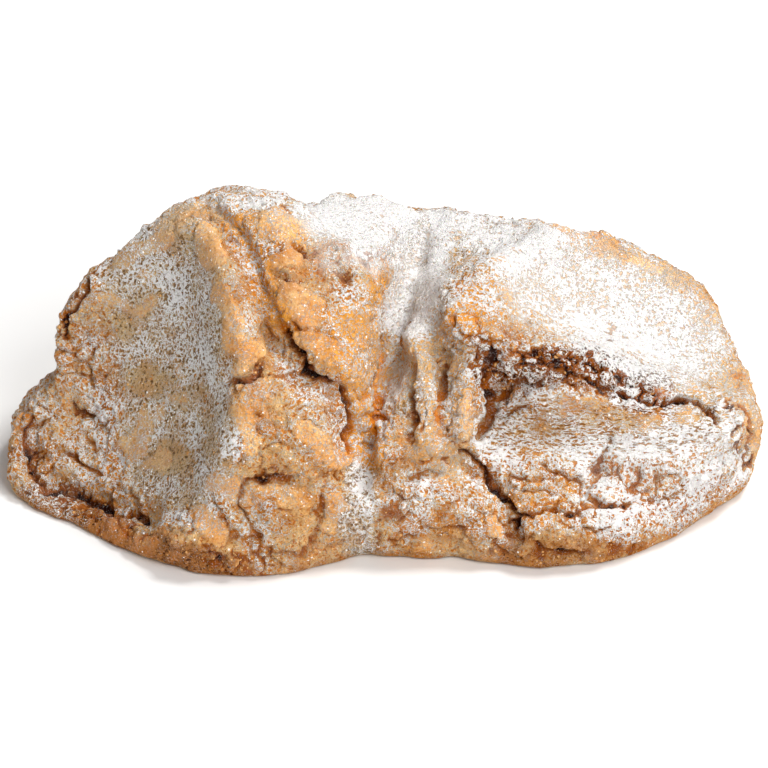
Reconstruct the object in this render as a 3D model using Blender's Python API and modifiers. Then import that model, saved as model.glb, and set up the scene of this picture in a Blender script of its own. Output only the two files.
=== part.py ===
"""Almond paste cookie: two lobes of soft dough, pinched by fingertips and baked until the crust cracked.

The lobes are rounded lumps merged into one body. Each fingertip is a paraboloid that pushes the
dough in front of it. Folds, fissures and loose crust plates are then raised or sunk along the
surface, and the body is cut flat where it lay on the tray.

Metres, +Z up. The long side lies along X, the side with the deepest cracks faces -Y, and the
origin is the middle of the flat base.
"""

import math
from typing import NamedTuple

import bmesh
import bpy
import numpy as np
from mathutils import Euler, Matrix, Vector, noise
from mathutils.bvhtree import BVHTree

# Driving sizes of the baked cookie, in metres.
LENGTH = 0.0620
DEPTH = 0.0334
HEIGHT = 0.0246

# The dough is shaped in millimetres, near its real size, and fitted to the driving sizes at the end.
# It is rebuilt as an even mesh when the lobes merge, when they have been pressed, and after the relief.
LOBE_SUBDIVISIONS = 5
LOBE_VOXEL = 0.65
RELIEF_VOXEL = 0.42
BLEND_PASSES = 14
SETTLE_PASSES = 4
SMOOTHING = 0.5
TRIANGLES = 11400

# Lines and plates are drawn on a plane that leans back, as a side of the cookie is looked down on:
# a point is (across, up) in millimetres, and belongs to the dough that faces the plane there.
LEAN_BACK = math.radians(32)
FRONT = 0.0
BACK = math.pi
FACING = (0.08, 0.30)
CLEAR_OF_DOUGH = 0.4

# The crust wanders from side to side along a line by this much, with waves of this length.
WANDER = 0.45
WANDER_WAVE = 1.6

# Fine cracks part the crust into scales. They come in patches, fewest high up and where fingers
# smoothed the dough. The whole crust is uneven, in waves of several lengths and heights.
SCALE_SIZE = 3.4
SCALE_CRACK = 0.20
SCALE_DEPTH = 0.55
SCALY_BELOW = (3.0, 12.0)
FEWEST_SCALES = 0.30
SMOOTHED = (0.3, 1.3)
PATCH_WAVE = 5.0
UNEVEN = ((6.0, 0.40), (2.4, 0.25), (1.1, 0.14))
SEED_SHIFT = Vector((31.7, 12.3, 7.9))

# Blender seeds its noise vectors from the clock. With a seed of its own the cookie always comes out the same.
NOISE_SEED = 5

CRUST_COLOUR = (0.68, 0.43, 0.20, 1.0)
CRUST_ROUGHNESS = 0.9


class Lobe(NamedTuple):
    """A rounded lump of dough: its middle and half sizes, leaning about Y and turned about Z in degrees."""

    middle: tuple
    radii: tuple
    lean: float = 0.0
    turn: float = 0.0


class Press(NamedTuple):
    """A fingertip: its deepest point, the way it pushes, and the way its long side lies.

    The dent is a paraboloid that has risen by sag at a distance of across or along from the tip,
    and soften rounds its rim.
    """

    tip: tuple
    pushes: tuple
    long_side: tuple
    across: float
    along: float
    sag: float
    soften: float


class Line(NamedTuple):
    """A line on the crust: its route, the width to both sides, how far it rises or sinks, and its plane."""

    route: tuple
    width: float
    rise: float
    side: float = FRONT


class Plate(NamedTuple):
    """A plate of crust: its outline, how far it stands up, and the plane it is drawn on."""

    outline: tuple
    rise: float
    side: float = FRONT


LOBES = {
    "left_crown": Lobe((-11.9, 1.0, 7.0), (13.0, 14.0, 17.0), 3),
    "left_front": Lobe((-9.5, -5.0, 3.5), (12.5, 11.5, 15.5)),
    "left_foot": Lobe((-11.5, -6.2, 1.8), (12.0, 11.0, 7.8)),
    "left_shoulder": Lobe((-16.6, 1.5, 8.0), (10.4, 12.0, 10.8), -4),
    "left_end": Lobe((-21.3, -0.5, 2.0), (9.8, 11.5, 6.4)),
    "left_corner": Lobe((-2.2, 3.0, 8.0), (8.0, 13.0, 14.8)),
    "back_wall": Lobe((8.5, 8.0, 5.0), (12.0, 8.0, 13.5)),
    "bridge": Lobe((2.5, -3.6, 3.0), (9.0, 11.2, 11.0)),
    "right_crest": Lobe((9.5, 1.0, 7.5), (8.5, 10.5, 12.0)),
    "right_crown": Lobe((16.6, 3.0, 4.0), (13.2, 12.5, 14.4), 4),
    "right_ridge": Lobe((17.5, -3.5, 8.5), (13.5, 6.8, 5.6), 28, -3),
    "right_end": Lobe((20.8, -0.5, 4.6), (10.4, 10.8, 9.2)),
    "right_foot": Lobe((12.8, -4.7, 1.4), (14.0, 11.0, 7.2)),
}

PRESSES = {
    "left_thumb": Press((-17.5, -4.2, 12.1), (0.680, 0.600, -0.400), (0.1, 0.4, 0.9), 8.5, 11.0, 1.5, 0.6),
    "plateau": Press((-3.0, 2.5, 21.0), (-0.360, 0.0, -0.933), (0.4, 0.9, 0.0), 8.0, 11.0, 0.8, 0.4),
    "right_thumb": Press((18.2, 1.4, 12.2), (-0.444, 0.285, -0.855), (0.9, -0.1, 0.0), 8.0, 11.0, 2.2, 0.6),
    "right_finger": Press((16.5, -10.7, 8.2), (0.0, 0.82, -0.57), (1.0, 0.1, 0.1), 4.5, 13.0, 1.8, 0.8),
    "back_finger": Press((-9.0, 12.0, 11.0), (0.05, -0.95, -0.25), (0.1, 0.0, 1.0), 6.0, 14.0, 3.0, 1.0),
    "back_thumb": Press((19.0, 12.5, 7.0), (-0.25, -0.93, -0.2), (0.9, 0.0, 0.2), 7.0, 9.0, 2.6, 1.0),
}

# The cleft between the lobes: its floor runs from the front to the back. The left wall is steep, and
# the right bank is gentler, the more so towards the back.
CLEFT_FRONT = (-0.8, -8.0, 7.5)
CLEFT_BACK = (3.2, 8.0, 16.0)
CLEFT_LEFT_SLOPE = 4.0
CLEFT_RIGHT_SLOPES = (1.6, 0.8)
CLEFT_FLOOR = 4.0
CLEFT_SOFTEN = 1.2

# Folds stand up from the crust along a line. The two halves of each pinch lie side by side in the cleft.
FOLDS = {
    "cleft_strip_left": Line(((1.3, 8.5), (1.0, 5.0), (0.6, 1.0)), 1.8, 0.9),
    "cleft_strip_middle": Line(((3.6, 9.6), (3.5, 6.0), (3.2, 2.0)), 2.0, 1.2),
    "cleft_strip_right": Line(((6.8, 9.4), (6.6, 6.5), (6.2, 2.5)), 2.6, 1.5),
    "cleft_knob": Line(((6.6, 11.4), (8.2, 11.0)), 2.4, 1.6),
    "crest": Line(((6.3, 11.8), (6.2, 13.8), (8.5, 15.8), (13.5, 17.6)), 2.2, 1.0),
    "ridge": Line(((8.9, 9.3), (14.4, 8.9), (21.8, 6.4), (28.0, 3.4)), 2.6, 1.5),
    "left_lip": Line(((-30.0, -0.5), (-26.5, -3.7), (-20.0, -5.6), (-15.5, -5.6)), 2.4, 1.1),
    "left_rim": Line(((-14.7, 20.0), (-13.2, 13.0), (-12.0, 5.0), (-13.5, -0.5)), 2.6, 0.7),
    "shoulder_rim": Line(((-27.5, 8.0), (-26.2, 12.0), (-22.5, 16.5), (-17.5, 19.8)), 2.4, 0.7),
    "foot_bumps": Line(((-2.5, -4.0), (2.5, -3.0), (7.0, -3.6)), 3.4, 0.9),
    "foot_roll": Line(((8.5, -5.0), (14.0, -5.2), (20.0, -3.8)), 3.2, 0.8),
    "back_fold": Line(((-3.5, 17.0), (-4.0, 9.0), (-2.5, 0.0)), 4.0, 1.2, side=BACK),
    "back_roll": Line(((-25.0, 3.0), (-15.0, 1.0), (-6.0, 2.5)), 4.0, 1.0, side=BACK),
}

# Fissures are torn into the crust where it set before the dough inside had risen.
FISSURES = {
    "main_upper": Line(((-14.4, 20.7), (-11.6, 18.0), (-10.6, 15.2), (-9.0, 10.5)), 1.25, -1.7),
    "main_middle": Line(((-9.2, 11.0), (-7.2, 7.9), (-3.9, 6.4)), 1.4, -1.9),
    "main_lower": Line(((-3.7, 6.6), (-3.2, 3.6), (-3.0, 1.2)), 1.0, -1.1),
    "main_branch": Line(((-12.9, 6.7), (-11.3, 6.9), (-9.6, 8.5)), 0.9, -0.9),
    "wedge_left": Line(((-7.5, 18.0), (-6.0, 16.7)), 0.7, -0.6),
    "wedge_middle": Line(((-8.9, 15.2), (-5.8, 15.3)), 0.7, -0.6),
    "wedge_top": Line(((-4.2, 16.0), (-2.5, 14.6)), 0.8, -0.8),
    "wedge_foot": Line(((-0.1, 10.0), (-0.4, 5.5), (-1.0, 2.2)), 1.0, -0.9),
    "scale_ring": Line(((-6.9, -1.0), (-11.4, -1.3), (-10.2, -5.8), (-6.6, -7.0), (-4.9, -3.0)), 0.8, -0.5),
    "lip_groove": Line(((-28.9, 3.5), (-29.0, -0.3), (-25.0, -2.3), (-18.9, -4.2)), 1.1, -1.3),
    "left_end_crack": Line(((-25.6, 5.1), (-24.3, 4.2), (-23.4, 3.1)), 0.8, -0.7),
    "strip_groove_left": Line(((2.3, 8.7), (2.2, 5.5), (1.7, 2.1)), 1.0, -1.0),
    "strip_groove_right": Line(((4.9, 8.4), (4.7, 5.0), (4.4, 3.0)), 1.0, -1.1),
    "strip_channel": Line(((8.6, 8.6), (8.8, 4.5), (7.3, 2.2)), 1.8, -1.2),
    "knob_gap": Line(((5.0, 9.2), (7.2, 8.9), (8.8, 9.3)), 1.0, -1.1),
    "ridge_upper": Line(((8.9, 5.3), (12.0, 6.5), (15.5, 7.0), (18.9, 5.9)), 1.1, -1.5),
    "ridge_lower": Line(((18.9, 6.0), (22.5, 5.0), (25.9, 4.8), (27.4, 3.4)), 1.0, -1.3),
    "finger_crack": Line(((18.4, 2.4), (17.4, -0.2), (16.3, -2.0)), 0.8, -0.8),
    "foot_scale": Line(((13.6, -0.5), (16.0, -1.4), (16.1, -3.3), (13.6, -3.5), (11.6, -3.0)), 0.7, -0.5),
    "foot_scale_side": Line(((16.3, -2.4), (19.0, -3.0), (20.8, -2.5)), 0.8, -0.7),
    "foot_edge": Line(((12.0, -6.1), (14.5, -6.6), (16.1, -7.2)), 0.8, -0.7),
    "centre_tear": Line(((5.8, 1.1), (7.9, -0.5), (9.5, -2.6), (10.6, -5.2)), 1.3, -1.5),
    "centre_gap": Line(((2.2, -0.7), (4.4, -0.2)), 0.9, -0.9),
    "right_end_crack": Line(((29.3, 3.4), (30.1, 1.9), (29.4, -0.5)), 0.9, -0.8),
    "right_rim_crack": Line(((28.7, 10.9), (29.4, 9.2), (30.5, 7.0)), 0.8, -0.7),
    "back_split": Line(((3.0, 14.0), (1.2, 9.0), (2.4, 4.0), (0.6, -0.5)), 1.1, -1.1, side=BACK),
    "back_tear": Line(((14.5, 13.0), (17.0, 9.0), (16.2, 4.5)), 0.9, -0.8, side=BACK),
    "back_crack": Line(((-12.0, 7.5), (-15.5, 6.0), (-19.5, 6.8)), 0.9, -0.9, side=BACK),
    "back_foot_crack": Line(((8.0, -2.0), (12.5, -1.0), (17.5, -2.4)), 0.9, -0.9, side=BACK),
}

# Plates of crust that lifted off in one piece: their outline, and how far they stand proud.
PLATES = {
    "wedge": Plate(((-10.2, 21.6), (-6.9, 21.0), (-0.6, 14.4), (0.0, 4.0), (-1.6, 2.6), (-7.3, 9.9)), 0.9),
    "scale": Plate(((-7.0, -1.4), (-11.2, -1.6), (-10.0, -5.8), (-6.8, -6.6), (-5.2, -3.6)), 0.25),
}
PLATE_EDGE = 0.7


def clear_scene():
    """Removes every object, so that only the cookie is left."""
    for old in list(bpy.data.objects):
        bpy.data.objects.remove(old)


def points_of(mesh):
    """The mesh's vertices as an array of rows."""
    points = np.empty(len(mesh.vertices) * 3)
    mesh.vertices.foreach_get("co", points)
    return points.reshape(-1, 3)


def normals_of(mesh):
    """The mesh's vertex normals as an array of rows."""
    normals = np.empty(len(mesh.vertices) * 3)
    mesh.vertex_normals.foreach_get("vector", normals)
    return normals.reshape(-1, 3)


def move_points(mesh, points):
    """Gives the mesh's vertices new places."""
    mesh.vertices.foreach_set("co", points.ravel())
    mesh.update()


def modified(obj, kind, **settings):
    """Adds a modifier to the object, applies it, and returns the object with its new mesh."""
    modifier = obj.modifiers.new(kind.title(), kind)
    for name, value in settings.items():
        setattr(modifier, name, value)
    graph = bpy.context.evaluated_depsgraph_get()
    mesh = bpy.data.meshes.new_from_object(obj.evaluated_get(graph))
    obj.modifiers.clear()
    old = obj.data
    obj.data = mesh
    bpy.data.meshes.remove(old)
    return obj


def lumps_of_dough():
    """One object, in a collection of its own, that holds every lobe as a turned and stretched ball."""
    bm = bmesh.new()
    for lobe in LOBES.values():
        place = Matrix.LocRotScale(
            Vector(lobe.middle),
            Euler((0, math.radians(lobe.lean), math.radians(lobe.turn))),
            Vector(lobe.radii),
        )
        bmesh.ops.create_icosphere(bm, subdivisions=LOBE_SUBDIVISIONS, radius=1, matrix=place)
    mesh = bpy.data.meshes.new("cookie")
    bm.to_mesh(mesh)
    bm.free()
    obj = bpy.data.objects.new("cookie", mesh)
    collection = bpy.data.collections.new("almond_paste_cookie")
    bpy.context.scene.collection.children.link(collection)
    collection.objects.link(obj)
    return obj


def unit(direction):
    """The direction as an array of length 1."""
    direction = np.array(direction, float)
    return direction / np.linalg.norm(direction)


def soft_max(a, b, soften):
    """The larger of two arrays, rounded over by soften where they meet."""
    share = np.clip(0.5 + 0.5 * (a - b) / soften, 0, 1)
    return b + (a - b) * share + soften * share * (1 - share)


def against_fingertip(points, press):
    """How deep each point lies along the push, and how deep the fingertip's surface is there."""
    push = unit(press.pushes)
    along = np.array(press.long_side, float)
    along = unit(along - push * (along @ push))
    across = np.cross(push, along)
    offset = points - np.array(press.tip)
    spread = (offset @ along / press.along) ** 2 + (offset @ across / press.across) ** 2
    return offset @ push, -press.sag * spread


def press_in(points, press):
    """Pushes the points that a fingertip would meet onto the fingertip's surface."""
    depth, fingertip = against_fingertip(points, press)
    return points + np.outer(soft_max(depth, fingertip, press.soften) - depth, unit(press.pushes))


def open_cleft(points):
    """Sinks the dough between the lobes to a floor with a steep left wall and a gentle right bank."""
    front, back = np.array(CLEFT_FRONT), np.array(CLEFT_BACK)
    share = (points[:, 1] - front[1]) / (back[1] - front[1])
    floor = front + np.outer(share, back - front)
    aside = points[:, 0] - floor[:, 0]
    right_slope = np.interp(share, (0, 1), CLEFT_RIGHT_SLOPES)
    banks = floor[:, 2] + soft_max(-CLEFT_LEFT_SLOPE * aside, right_slope * aside, CLEFT_FLOOR)
    opened = points.copy()
    opened[:, 2] = -soft_max(-points[:, 2], -banks, CLEFT_SOFTEN)
    return opened


def drawing_plane(side):
    """The directions across, up and out of the plane on which that side's lines are drawn."""
    turn = Matrix.Rotation(side, 3, "Z")
    across = turn @ Vector((1, 0, 0))
    up = turn @ Vector((0, math.sin(LEAN_BACK), math.cos(LEAN_BACK)))
    out = turn @ Vector((0, -math.cos(LEAN_BACK), math.sin(LEAN_BACK)))
    return across, up, out


def smooth_step(low, high, values):
    """Rises from 0 at low to 1 at high."""
    share = np.clip((values - low) / (high - low), 0, 1)
    return share * share * (3 - 2 * share)


def facing_share(points, normals, tree, out):
    """How fully each point belongs to the plane: it faces the plane and no dough stands in between."""
    share = smooth_step(*FACING, normals @ np.array(out))
    for index in np.nonzero(share)[0]:
        start = Vector(points[index]) + Vector(normals[index]) * CLEAR_OF_DOUGH
        if tree.ray_cast(start, out)[0] is not None:
            share[index] = 0
    return share


def wandered(points):
    """The points moved about by noise, so that whatever is drawn on them comes out ragged."""
    shifts = [noise.noise_vector(Vector(point) / WANDER_WAVE + SEED_SHIFT) for point in points]
    return points + WANDER * np.array(shifts)


def distance_to_route(drawn, route):
    """The distance from each drawn point to the route."""
    nearest = np.full(len(drawn), np.inf)
    for start, end in zip(route, route[1:]):
        start, step = np.array(start), np.subtract(end, start)
        share = np.clip((drawn - start) @ step / (step @ step), 0, 1)
        nearest = np.minimum(nearest, np.linalg.norm(drawn - start - np.outer(share, step), axis=1))
    return nearest


def depth_inside(drawn, outline):
    """How far inside the outline each drawn point lies, below 0 outside it."""
    inside = np.zeros(len(drawn), bool)
    for (x0, y0), (x1, y1) in zip(outline, outline[1:] + outline[:1]):
        crosses = (drawn[:, 1] < y0) != (drawn[:, 1] < y1)
        at_x = x0 + (drawn[:, 1] - y0) * (x1 - x0) / (y1 - y0 if y1 != y0 else 1)
        inside ^= crosses & (drawn[:, 0] < at_x)
    distance = distance_to_route(drawn, outline + outline[:1])
    return np.where(inside, distance, -distance)


def drawn_rise(points, normals, tree):
    """How far the folds, fissures and plates lift or sink each point."""
    ragged = wandered(points)
    rise = np.zeros(len(points))
    for side in (FRONT, BACK):
        across, up, out = drawing_plane(side)
        belongs = facing_share(points, normals, tree, out)
        drawn = np.column_stack((ragged @ np.array(across), ragged @ np.array(up)))
        for line in list(FOLDS.values()) + list(FISSURES.values()):
            if line.side == side:
                near = np.clip(1 - (distance_to_route(drawn, line.route) / line.width) ** 2, 0, 1)
                rise += line.rise * belongs * near ** 2
        for plate in PLATES.values():
            if plate.side == side:
                inside = depth_inside(drawn, plate.outline)
                rise += plate.rise * belongs * smooth_step(-PLATE_EDGE / 2, PLATE_EDGE / 2, inside)
    return rise


def rough_share(points):
    """How scaly the crust is at each point: smooth where fingers pressed it, scaly low down."""
    share = 1 - (1 - FEWEST_SCALES) * smooth_step(*SCALY_BELOW, points[:, 2])
    for press in PRESSES.values():
        depth, fingertip = against_fingertip(points, press)
        share *= 1 - FEWEST_SCALES + FEWEST_SCALES * smooth_step(*SMOOTHED, np.abs(depth - fingertip))
    return share


def crust_rise(points):
    """How far the fine cracks and the unevenness of the crust lift or sink each point."""
    scales, uneven = [], []
    for point in map(Vector, points):
        ragged = point + WANDER * noise.noise_vector(point / WANDER_WAVE)
        nearest = noise.voronoi(ragged / SCALE_SIZE + SEED_SHIFT)[0]
        patchy = 0.5 + noise.noise(point / PATCH_WAVE)
        scales.append(max(0.0, 1 - (nearest[1] - nearest[0]) / SCALE_CRACK) * patchy)
        uneven.append(sum(height * noise.noise(point / wave + SEED_SHIFT) for wave, height in UNEVEN))
    return np.array(uneven) - SCALE_DEPTH * rough_share(points) * np.array(scales)


def raise_relief(mesh):
    """Moves the surface in and out along its normals by everything that is drawn on the crust."""
    points, normals = points_of(mesh), normals_of(mesh)
    faces = [tuple(face.vertices) for face in mesh.polygons]
    tree = BVHTree.FromPolygons([Vector(point) for point in points], faces)
    rise = drawn_rise(points, normals, tree) + crust_rise(points)
    move_points(mesh, points + normals * rise[:, None])


def cut_flat(mesh):
    """Cuts the body at the tray and closes the cut with a flat base."""
    bm = bmesh.new()
    bm.from_mesh(mesh)
    everything = bm.verts[:] + bm.edges[:] + bm.faces[:]
    cut = bmesh.ops.bisect_plane(bm, geom=everything, plane_no=(0, 0, 1), clear_inner=True)
    rim = [part for part in cut["geom_cut"] if isinstance(part, bmesh.types.BMEdge)]
    bmesh.ops.edgeloop_fill(bm, edges=rim)
    bmesh.ops.triangulate(bm, faces=bm.faces)
    bm.to_mesh(mesh)
    bm.free()


def fit_to_size(mesh):
    """Brings the body to its driving sizes, in metres, over the middle of its base."""
    points = points_of(mesh)
    low, high = points.min(axis=0), points.max(axis=0)
    middle = (low + high) / 2
    middle[2] = low[2]
    move_points(mesh, (points - middle) * (np.array((LENGTH, DEPTH, HEIGHT)) / (high - low)))


def baked_crust():
    """The dull golden crust that covers the whole cookie."""
    material = bpy.data.materials.new("crust")
    material.use_nodes = True
    surface = material.node_tree.nodes["Principled BSDF"]
    surface.inputs["Base Color"].default_value = CRUST_COLOUR
    surface.inputs["Roughness"].default_value = CRUST_ROUGHNESS
    surface.inputs["Metallic"].default_value = 0
    return material


def main():
    """Builds the cookie."""
    clear_scene()
    noise.seed_set(NOISE_SEED)
    cookie = lumps_of_dough()
    modified(cookie, "REMESH", mode="VOXEL", voxel_size=LOBE_VOXEL)
    modified(cookie, "SMOOTH", factor=SMOOTHING, iterations=BLEND_PASSES)
    points = points_of(cookie.data)
    for press in PRESSES.values():
        points = press_in(points, press)
    move_points(cookie.data, open_cleft(points))
    modified(cookie, "REMESH", mode="VOXEL", voxel_size=RELIEF_VOXEL)
    modified(cookie, "SMOOTH", factor=SMOOTHING, iterations=SETTLE_PASSES)
    raise_relief(cookie.data)
    modified(cookie, "REMESH", mode="VOXEL", voxel_size=RELIEF_VOXEL)
    cut_flat(cookie.data)
    modified(cookie, "DECIMATE", ratio=TRIANGLES / len(cookie.data.polygons))
    fit_to_size(cookie.data)
    cookie.data.materials.append(baked_crust())
    return cookie


if __name__ == "__main__":
    main()
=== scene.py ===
"""The looks of an almond paste cookie: cracked golden crust, pale dough in the cleft, icing sugar over all.

The crust is shaped on a fine copy of the cookie's body. Fissures, scales and crumbs are raised or sunk
along its surface, and each point is told how much sugar, colour and crumb it carries. The crust's
finish reads that. Clumps of sugar and crumbs of crust are pieces of their own.

Shapes are worked out in millimetres and brought to metres when a piece is finished.
"""

import logging
import math
from dataclasses import dataclass, field
from enum import Enum

import bmesh
import bpy
import numpy as np
from mathutils import Matrix, Vector, noise
from mathutils.bvhtree import BVHTree


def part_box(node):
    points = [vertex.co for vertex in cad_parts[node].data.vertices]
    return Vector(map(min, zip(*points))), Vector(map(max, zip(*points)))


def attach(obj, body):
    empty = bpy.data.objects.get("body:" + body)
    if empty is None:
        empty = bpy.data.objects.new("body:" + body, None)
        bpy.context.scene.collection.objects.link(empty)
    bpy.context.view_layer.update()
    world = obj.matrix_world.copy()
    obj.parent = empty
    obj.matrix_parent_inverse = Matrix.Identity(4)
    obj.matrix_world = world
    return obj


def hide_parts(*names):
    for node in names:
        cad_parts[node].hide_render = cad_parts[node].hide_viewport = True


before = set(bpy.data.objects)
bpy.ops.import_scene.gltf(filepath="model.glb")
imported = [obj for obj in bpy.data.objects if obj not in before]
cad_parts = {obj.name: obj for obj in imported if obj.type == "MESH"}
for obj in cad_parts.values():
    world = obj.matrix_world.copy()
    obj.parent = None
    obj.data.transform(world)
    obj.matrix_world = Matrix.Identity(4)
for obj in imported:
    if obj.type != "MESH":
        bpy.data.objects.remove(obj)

LOG = logging.getLogger("cookie")

BODY = "root"
NODE = "cookie"
MM = 0.001

# The drawn lines and zones are measured on the dough before it was fitted to its size.
FIT_SCALE = np.array((0.9933, 1.0053, 1.0085))
FIT_MIDDLE = np.array((-0.065, -0.518, 0.0))
SEED_SHIFT = Vector((31.7, 12.3, 7.9))

# Any odd numbers do here: they turn the place of a cell into a number of its own.
CELL_MIX = Vector((12.99, 78.23, 37.72))
CELL_SPREAD = 43758.5

Colour = tuple[float, float, float, float]


def colour_of(red: int, green: int, blue: int) -> Colour:
    """The linear colour of a red, green and blue from 0 to 255, as a screen shows them."""
    shown = [part / 255 for part in (red, green, blue)]
    return (*(((part + 0.055) / 1.055) ** 2.4 if part > 0.04045 else part / 12.92 for part in shown), 1.0)


def smooth_step(low: float, high: float, values: np.ndarray) -> np.ndarray:
    """Rises smoothly from 0 at low to 1 at high."""
    share = np.clip((values - low) / (high - low), 0, 1)
    return share * share * (3 - 2 * share)


def waves(points: np.ndarray, length: float, seed: float = 0.0) -> np.ndarray:
    """Smooth noise from about -1 to 1 at each point, in waves of the length."""
    shift = SEED_SHIFT + Vector((seed, -seed, 2 * seed))
    return np.array([noise.noise(Vector(point) + shift) for point in (points / length).tolist()])


@dataclass(frozen=True)
class Wander:
    """Moves points about by noise, so that what is drawn on them comes out ragged.

    Each step is how far the points move, in waves of which length, and the seed of the noise.
    """

    steps: tuple[tuple[float, float, float], ...]
    apart: tuple[float, float, float] = (40.0, 60.0, 80.0)

    def moved(self, points: np.ndarray) -> np.ndarray:
        """The points after every step."""
        for amount, length, seed in self.steps:
            pushes = [waves(points, length, seed + more) for more in self.apart]
            points = points + amount * np.column_stack(pushes)
        return points


ZONE_WANDER = Wander(((0.8, 2.2, 20.0), (0.25, 0.7, 21.0)))
CRACK_WANDER = Wander(((0.35, 1.6, 0.0), (0.2, 0.5, 1.0)))
PLATE_WANDER = Wander(((0.3, 0.6, 3.0), (0.8, 2.5, 9.0)))
SCALE_WANDER = Wander(((0.8, 2.2, 3.0), (0.25, 0.6, 4.0)))
CRUMB_WANDER = Wander(((0.45, 1.1, 7.0), (0.15, 0.4, 8.0)))


def cells(points: np.ndarray, size: float, seed: float = 0.0) -> tuple[np.ndarray, np.ndarray]:
    """Splits space into cells, as a drying crust splits.

    Args:
        points: rows of x, y and z.
        size: how wide a cell is.
        seed: which set of cells.

    Returns:
        The distance to the nearest crack between cells, and a number from 0 to 1 for each point's cell.
    """
    shift = SEED_SHIFT + Vector((seed, 3 * seed, -seed))
    to_crack, number = [], []
    for point in (points / size).tolist():
        distances, centres = noise.voronoi(Vector(point) + shift)
        to_crack.append((distances[1] - distances[0]) * size / 2)
        number.append((math.sin(centres[0].dot(CELL_MIX)) * CELL_SPREAD) % 1.0)
    return np.array(to_crack), np.array(number)


class Side(Enum):
    """The side of the cookie that a line or a zone is drawn on, by the way it faces about Z."""

    FRONT = 0.0
    BACK = math.pi


@dataclass(frozen=True)
class DrawingPlane:
    """A plane that leans back by 32 degrees, on which one side is seen slightly from above."""

    side: Side
    lean: float = math.radians(32)
    facing: tuple[float, float] = (0.05, 0.30)
    clearance: float = 0.35

    def axes(self) -> tuple[np.ndarray, np.ndarray, np.ndarray]:
        """The directions across, up and out of the plane."""
        turn = np.array(Matrix.Rotation(self.side.value, 3, "Z"))
        across = turn @ np.array((1.0, 0.0, 0.0))
        up = turn @ np.array((0.0, math.sin(self.lean), math.cos(self.lean)))
        out = turn @ np.array((0.0, -math.cos(self.lean), math.sin(self.lean)))
        return across, up, out

    def draw(self, points: np.ndarray) -> np.ndarray:
        """The points as rows of across and up."""
        across, up, _ = self.axes()
        return np.column_stack((points @ across, points @ up))

    def belonging(self, points: np.ndarray, normals: np.ndarray, tree: BVHTree | None = None) -> np.ndarray:
        """How fully each point belongs to this side.

        Args:
            points: rows of x, y and z.
            normals: the way each point faces.
            tree: where given, a point behind other dough doesn't belong.

        Returns:
            A number from 0 to 1 for each point.
        """
        out = self.axes()[2]
        share = smooth_step(*self.facing, normals @ out)
        if tree is not None:
            for index in np.nonzero(share)[0]:
                start = Vector(points[index] + normals[index] * self.clearance)
                if tree.ray_cast(start, Vector(out))[0] is not None:
                    share[index] = 0
        return share


def route_distance(drawn: np.ndarray, route: tuple[tuple[float, float], ...]) -> np.ndarray:
    """Finds where each drawn point lies along a route.

    Args:
        drawn: rows of across and up.
        route: the route's points.

    Returns:
        Rows of the distance to the route, with a minus on its right-hand side, and the length of the route
        before that point and after it.
    """
    nearest = np.full(len(drawn), np.inf)
    result = np.zeros((len(drawn), 3))
    lengths = [math.dist(start, end) for start, end in zip(route, route[1:])]
    before = 0.0
    for start, end, length in zip(route, route[1:], lengths):
        step = np.subtract(end, start) / length
        away = drawn - np.array(start)
        along = np.clip(away @ step, 0, length)
        gap = np.linalg.norm(away - np.outer(along, step), axis=1)
        sided = np.where(away @ np.array((-step[1], step[0])) < 0, -gap, gap)
        rows = np.column_stack((sided, before + along, sum(lengths) - before - along))
        closer = gap < nearest
        result[closer], nearest[closer] = rows[closer], gap[closer]
        before += length
    return result


@dataclass(frozen=True)
class Stroke:
    """A soft brush stroke on one side of the cookie: its route, half its width and how much it lays on."""

    route: tuple[tuple[float, float], ...]
    width: float
    amount: float = 1.0
    side: Side = Side.FRONT
    soft: float = 0.4

    def weight(self, drawn: np.ndarray) -> np.ndarray:
        """How much the stroke lays on each drawn point, fading out at its edge."""
        if len(self.route) == 1:
            gap = np.linalg.norm(drawn - np.array(self.route[0]), axis=1)
        else:
            gap = np.abs(route_distance(drawn, self.route)[:, 0])
        return self.amount * (1 - smooth_step(1 - self.soft, 1 + self.soft, gap / self.width))


def table(kind: type, *rows: tuple, **shared: object) -> tuple:
    """One of the kind for each row of its values. All of them share the rest."""
    return tuple(kind(*row, **shared) for row in rows)


class Canvas:
    """The crust's points as they are seen on both drawing planes, ready to be painted on."""

    def __init__(self, points: np.ndarray, normals: np.ndarray) -> None:
        """Takes the crust's points and the way each faces."""
        self.points = points / FIT_SCALE + FIT_MIDDLE
        self.normals = normals
        loose = ZONE_WANDER.moved(self.points)
        planes = {side: DrawingPlane(side) for side in Side}
        self.drawn = {side: plane.draw(loose) for side, plane in planes.items()}
        self.belongs = {side: plane.belonging(self.points, normals) for side, plane in planes.items()}

    def weights(self, strokes: tuple[Stroke, ...]) -> np.ndarray:
        """One row for each stroke: what it lays on each point."""
        sides = [stroke.side for stroke in strokes]
        return np.array(
            [stroke.weight(self.drawn[side]) * self.belongs[side] for stroke, side in zip(strokes, sides)]
        )


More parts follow.
